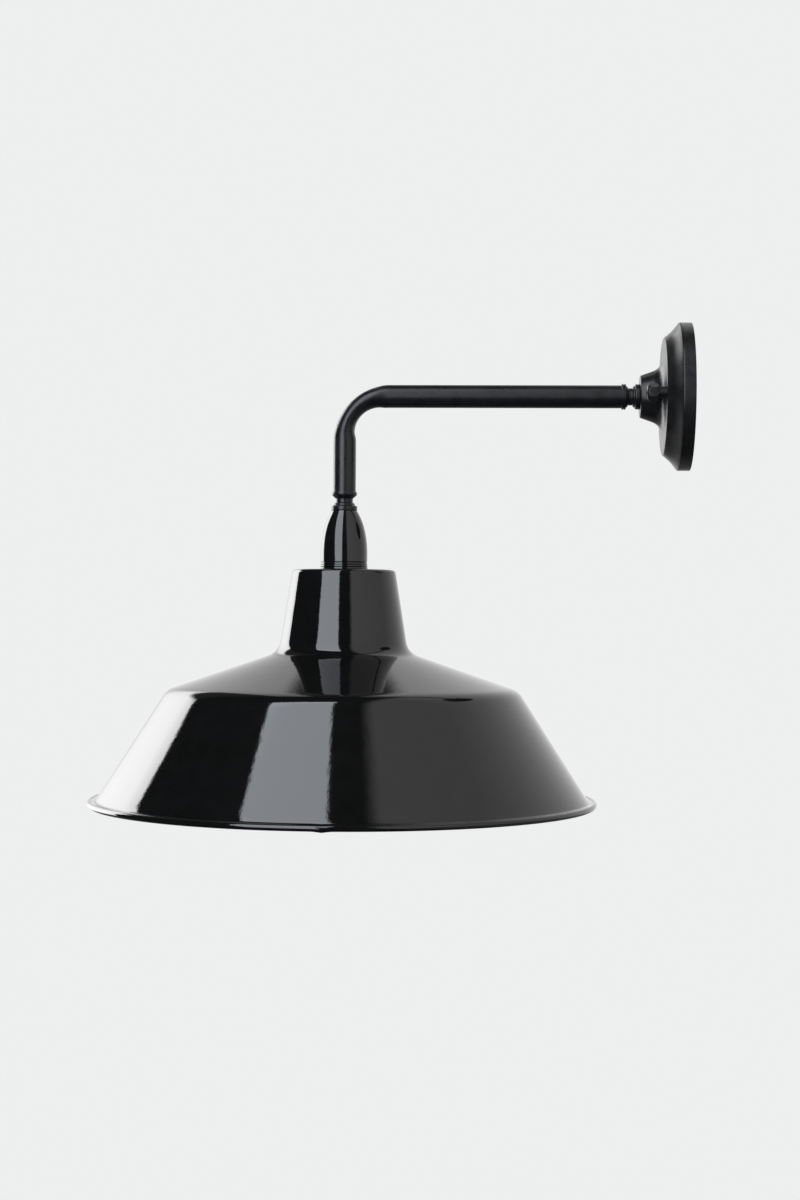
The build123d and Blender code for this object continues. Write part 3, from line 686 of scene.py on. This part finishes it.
def make_cup():
    """An ogive with a grooved foot."""
    outside = bezier((9.0, CUP_TOP), (12.7, -86.4), (16.8, -95.8), (16.5, -113.6), 28)
    foot = outline([
        (16.5, -114.2, 0),
        (16.5, -116.4, 0.3),
        (15.9, -116.75, 0.15),
        (16.45, -117.2, 0.3),
        (16.45, CUP_BOTTOM, 0.4),
        (15.3, CUP_BOTTOM, 0),
    ], closed=False, longest=0.6)
    inside = bezier((15.6, -113.6), (15.9, -96.2), (11.8, -87.0), (8.1, CUP_TOP - CUP_WALL), 28)
    top = [(HOLE_R, CUP_TOP - CUP_WALL), (HOLE_R, CUP_TOP)]
    stands_for(turned("ogive_cup", outside + foot + inside + top, 144), "holder_cup")


def make_cup_rings():
    for name, node, outer, low, high in (
        ("thin_cup_ring", "cup_ring", 16.6, RINGS_MEET, CUP_BOTTOM),
        ("thin_shade_washer", "shade_washer", 16.8, SHADE_TOP, RINGS_MEET),
    ):
        points = outline([
            (HOLE_R, low, 0),
            (outer, low, 0.6),
            (outer, high, 0.6),
            (HOLE_R, high, 0),
        ], longest=2.0)
        stands_for(turned(name, points, 144), node)


# ---- the bulb ----
CAP_PITCH = 3.629
CAP_R = 13.0
CAP_WALL = 0.4
THREAD_DEPTH = 0.9
THREAD_INSET = 1.6  # the thread stops this far from each end of the cap
THREAD_START = 1.6  # it fades in over this height at the bottom
THREAD_STOP = 1.2  # and out over this height at the top
GLASS_T = 0.8
GLASS_NECK_R = 11.6
GLASS_NECK = 10.5  # length of the straight neck
BALL_START = -89.4  # the globe's outline, in degrees from its equator
BALL_STEP = 2.4
BALL_POINTS = 54
THROAT_PULL = 0.42
COIL_TURNS = 60
COIL_STEPS = 8  # points for each turn
COIL_R = 0.00034
COIL_WIRE_R = 0.00009
COIL_SAG = 0.0006
ROD_R = 0.00045  # the CAD's bent rod, which the coil runs along


def cap_radius(z, angle, low, high):
    """The cap's outer face: a round helix that fades out at both ends, a flared skirt and a shoulder."""
    starts = clamped((z - low - THREAD_INSET) / THREAD_START)
    stops = clamped((high - THREAD_INSET - z) / THREAD_STOP)
    wave = 0.5 + 0.5 * cos(2 * pi * z / CAP_PITCH - angle)
    skirt = max(0.0, 1 - (z - low) / 1.2)
    shoulder = max(0.0, 1 - (high - z) / 1.2)
    return CAP_R - THREAD_DEPTH + THREAD_DEPTH * starts * stops * wave + 1.1 * skirt - 1.5 * shoulder**2


def make_bulb_cap():
    low, high = (corner.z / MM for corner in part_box("bulb_cap"))
    segments, rows = 144, 150
    heights = [high - (high - low) * row / rows for row in range(rows + 1)]
    bore = CAP_R - THREAD_DEPTH - CAP_WALL
    inside = [(CAP_R - 0.2, low), (bore, low + 0.8), (bore, high - 1.4), (10.0, high - 0.5)]
    rings = []
    for k in range(segments):
        angle = 2 * pi * k / segments
        outside = [(cap_radius(z, angle, low, high), z) for z in heights]
        rings.append([about_drop(radius, z, angle) for radius, z in outside + inside])
    stands_for(mesh_object("threaded_bulb_cap", rings), "bulb_cap")


def make_bulb_glass():
    """A globe that narrows to a straight neck."""
    low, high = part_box("bulb_glass")
    radius = (high.x - low.x) / 2 / MM
    centre = low.z / MM + radius
    neck_top = high.z / MM
    neck_low = neck_top - GLASS_NECK

    def wall(inset):
        r = radius - inset
        neck_r = GLASS_NECK_R - inset
        angles = [radians(BALL_START + BALL_STEP * k) for k in range(BALL_POINTS)]
        ball = [(r * cos(t), centre + r * sin(t)) for t in angles]
        (u0, v0), (u1, v1) = ball[-2], ball[-1]
        along = Vector((u1 - u0, v1 - v0)).normalized()
        pull = THROAT_PULL * (neck_low - v1)
        start = (u1 + along.x * pull, v1 + along.y * pull)
        throat = bezier((u1, v1), start, (neck_r, neck_low - pull), (neck_r, neck_low), 20)
        return ball + throat[1:] + [(neck_r, neck_top)]

    points = wall(0.0) + wall(GLASS_T)[::-1]
    stands_for(turned("bulb_envelope", points, 128), "bulb_glass")


def coil_point(share, ring_r, ring_z):
    """A point of the filament's coil, in metres, which sags in three spans between its supports."""
    around = pi / 2 + pi * share
    twist = 2 * pi * COIL_TURNS * share
    radius = ring_r + COIL_R * cos(twist)
    height = ring_z + COIL_R * sin(twist) - COIL_SAG * sin(3 * pi * share) ** 2
    return (DROP_X + radius * cos(around), radius * sin(around), height)


def make_filament():
    """A fine coil along the half ring that the CAD's bent rod stands for."""
    low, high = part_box("bulb_filament")
    ring_r = (high.y - low.y) / 2 - ROD_R
    ring_z = (low.z + high.z) / 2
    curve = bpy.data.curves.new("coiled_filament", "CURVE")
    curve.dimensions = "3D"
    curve.bevel_depth = COIL_WIRE_R
    curve.bevel_resolution = 1
    steps = COIL_TURNS * COIL_STEPS
    spline = curve.splines.new("POLY")
    spline.points.add(steps)
    for k in range(steps + 1):
        spline.points[k].co = (*coil_point(k / steps, ring_r, ring_z), 1.0)
    holder = placed("coiled_filament_curve", curve)
    bpy.context.view_layer.update()
    mesh = bpy.data.meshes.new_from_object(holder.evaluated_get(bpy.context.evaluated_depsgraph_get()))
    bpy.data.objects.remove(holder)
    mesh.materials.clear()
    mesh.shade_smooth()
    stands_for(placed("coiled_filament", mesh), "bulb_filament")


# ---- the studio ----
# The lights are drawn on the world by direction, as parts of a unit vector: x to the right, y away from the
# camera and z up. An edge is (where, half the soft change). The softbox is on an upright plane before the
# lamp, so its edges are sideways or upward for each unit ahead. A glow is what remap takes: from one place
# to another the light goes from one strength to another.
FLOOR_Z = -1.6
FLOOR_R = 2.6
GROUND = (0.855, 0.86, 0.862)

SOFTBOX_TINT = (0.93, 0.985, 1.07)
SOFTBOX_RIGHT = (-0.105, 0.02)
SOFTBOX_LEFT = (-0.86, 0.03)
SOFTBOX_LEAN = 0.35
SOFTBOX_FOOT = (-0.25, 0.1)
SOFTBOX_TOP = (3.8, 0.5)
SOFTBOX_NEAR = (-0.04, 0.03)
SOFTBOX_GLOW = (2.4, 3.4, 5.3, 6.6)

SCREEN_EDGE = (0.42, 0.012)
SCREEN_RIGHT = (-0.33, 0.09)
SCREEN_FOOT = (-0.22, 0.06)
SCREEN_TOP = (0.51, 0.04)
SCREEN_GLOW = (0.55, 0.97, 6.3, 0.0)

WALL_EDGE = (0.35, 0.06)
WALL_LEAN = 0.15
WALL_LIGHT = 0.76
WALL_AHEAD_LIGHT = 0.33
SKIRTING_GLOW = (-0.32, -0.14, 0.2, 1.0)
GAP_LEFT = (-0.15, 0.02)
GAP_RIGHT = (0.035, 0.02)
GAP_FOOT = (0.40, 0.05)
GAP_OVER_SCREEN = (-0.28, 0.03)
GAP_DEPTH = 0.93


def make_floor():
    """A round pale floor, well under the lamp and out of the main view."""
    mesh = bpy.data.meshes.new("floor")
    work = bmesh.new()
    bmesh.ops.create_circle(work, cap_ends=True, segments=128, radius=FLOOR_R)
    work.to_mesh(mesh)
    work.free()
    mesh.materials.append(pale_floor())
    floor = placed("floor", mesh)
    floor.location = (DROP_X / 2, 0, FLOOR_Z)
    floor.visible_glossy = False


def maths(tree, operation, *values):
    node = add_node(tree, "ShaderNodeMath", operation=operation)
    for socket, value in zip(node.inputs, values):
        if isinstance(value, bpy.types.NodeSocket):
            tree.links.new(value, socket)
        else:
            socket.default_value = value
    return node.outputs[0]


def both(tree, first, second):
    return maths(tree, "MULTIPLY", first, second)


def dot(tree, direction, axis):
    inputs = {0: direction, 1: axis}
    return add_node(tree, "ShaderNodeVectorMath", inputs, operation="DOT_PRODUCT").outputs["Value"]


def soft_step(tree, value, edge, to_low, to_high):
    where, half = edge
    inputs = {"Value": value, "From Min": where - half, "From Max": where + half}
    inputs.update({"To Min": to_low, "To Max": to_high})
    return add_node(tree, "ShaderNodeMapRange", inputs, interpolation_type="SMOOTHSTEP").outputs["Result"]


def above(tree, value, edge):
    return soft_step(tree, value, edge, 0.0, 1.0)


def below(tree, value, edge):
    return soft_step(tree, value, edge, 1.0, 0.0)


def between(tree, value, low_edge, high_edge):
    return both(tree, above(tree, value, low_edge), below(tree, value, high_edge))


def softbox_light(tree, x, y, z):
    """A tall softbox in front on the left, brighter toward its top."""
    ahead = maths(tree, "MAXIMUM", maths(tree, "MULTIPLY", y, -1.0), 0.02)
    across = maths(tree, "DIVIDE", x, ahead)
    height = maths(tree, "DIVIDE", z, ahead)
    leaning = maths(tree, "ADD", across, maths(tree, "MULTIPLY", height, SOFTBOX_LEAN))
    sides = both(tree, above(tree, leaning, SOFTBOX_LEFT), below(tree, across, SOFTBOX_RIGHT))
    ends = between(tree, height, SOFTBOX_FOOT, SOFTBOX_TOP)
    shape = both(tree, both(tree, sides, ends), below(tree, y, SOFTBOX_NEAR))
    return both(tree, shape, remap(tree, height, *SOFTBOX_GLOW))


def screen_light(tree, x, y, z):
    """A white screen behind on the left, brightest at its near edge."""
    sides = both(tree, above(tree, y, SCREEN_EDGE), below(tree, x, SCREEN_RIGHT))
    ends = between(tree, z, SCREEN_FOOT, SCREEN_TOP)
    return both(tree, both(tree, sides, ends), remap(tree, y, *SCREEN_GLOW))


def wall_gaps(tree, x, z):
    """What the dark gaps leave of the wall behind: one gap above the lamp, one over the screen."""
    above_lamp = both(tree, between(tree, x, GAP_LEFT, GAP_RIGHT), above(tree, z, GAP_FOOT))
    over_screen = both(tree, below(tree, x, GAP_OVER_SCREEN), above(tree, z, SCREEN_TOP))
    gaps = maths(tree, "MAXIMUM", above_lamp, over_screen)
    return maths(tree, "SUBTRACT", 1.0, maths(tree, "MULTIPLY", gaps, GAP_DEPTH))


def wall_light(tree, x, y, z):
    """White walls, brightest ahead and behind, dim near the floor, and dark on the near left."""
    leaning = maths(tree, "ADD", x, maths(tree, "MULTIPLY", z, WALL_LEAN))
    near_left = both(tree, below(tree, leaning, WALL_EDGE), below(tree, y, SCREEN_EDGE))
    walls = maths(tree, "SUBTRACT", 1.0, near_left)
    ahead_light = maths(tree, "MULTIPLY", maths(tree, "ABSOLUTE", y), WALL_AHEAD_LIGHT)
    light = both(tree, walls, maths(tree, "ADD", ahead_light, WALL_LIGHT))
    return both(tree, light, both(tree, wall_gaps(tree, x, z), remap(tree, z, *SKIRTING_GLOW)))


def make_studio():
    """The camera sees only plain pale ground. The lamp is lit by, and mirrors, the walls and lights."""
    world = bpy.data.worlds.new("studio")
    bpy.context.scene.world = world
    world.use_nodes = True
    tree = world.node_tree
    tree.nodes.clear()
    direction = add_node(tree, "ShaderNodeTexCoord").outputs["Generated"]
    x, y, z = (dot(tree, direction, axis) for axis in ((1, 0, 0), (0, 1, 0), (0, 0, 1)))

    def background(colour, strength):
        inputs = {"Color": (*colour, 1), "Strength": strength}
        return add_node(tree, "ShaderNodeBackground", inputs).outputs[0]

    white = maths(tree, "ADD", wall_light(tree, x, y, z), screen_light(tree, x, y, z))
    lights = {0: background((1, 1, 1), white), 1: background(SOFTBOX_TINT, softbox_light(tree, x, y, z))}
    lit = add_node(tree, "ShaderNodeAddShader", lights).outputs[0]
    straight = add_node(tree, "ShaderNodeLightPath").outputs["Is Camera Ray"]
    mix = add_node(tree, "ShaderNodeMixShader", {0: straight, 1: lit, 2: background(GROUND, 1.0)})
    add_node(tree, "ShaderNodeOutputWorld", {"Surface": mix.outputs[0]})


CAMERA_PLACE = (-0.1311, -1.488, -0.143)
CAMERA_ROLL = -0.354
CAMERA_TURN = 2.72


def make_camera():
    """Level, a metre and a half before the arm, turned a little to the left and hardly rolled."""
    data = bpy.data.cameras.new("camera")
    data.sensor_width = 36.0
    data.lens = 63.6
    data.clip_start = 0.05
    data.clip_end = 50
    camera = placed("camera", data)
    camera.location = CAMERA_PLACE
    camera.rotation_euler = (radians(90), radians(CAMERA_ROLL), radians(CAMERA_TURN))
    bpy.context.scene.camera = camera


dress_cad_nodes()
make_camera()
make_studio()
make_floor()
make_shade()
make_rose()
make_rose_collar()
make_fixings()
make_arm()
make_drop_collar()
make_cup()
make_cup_rings()
make_bulb_cap()
make_bulb_glass()
make_filament()

bpy.context.scene.view_settings.view_transform = "Standard"
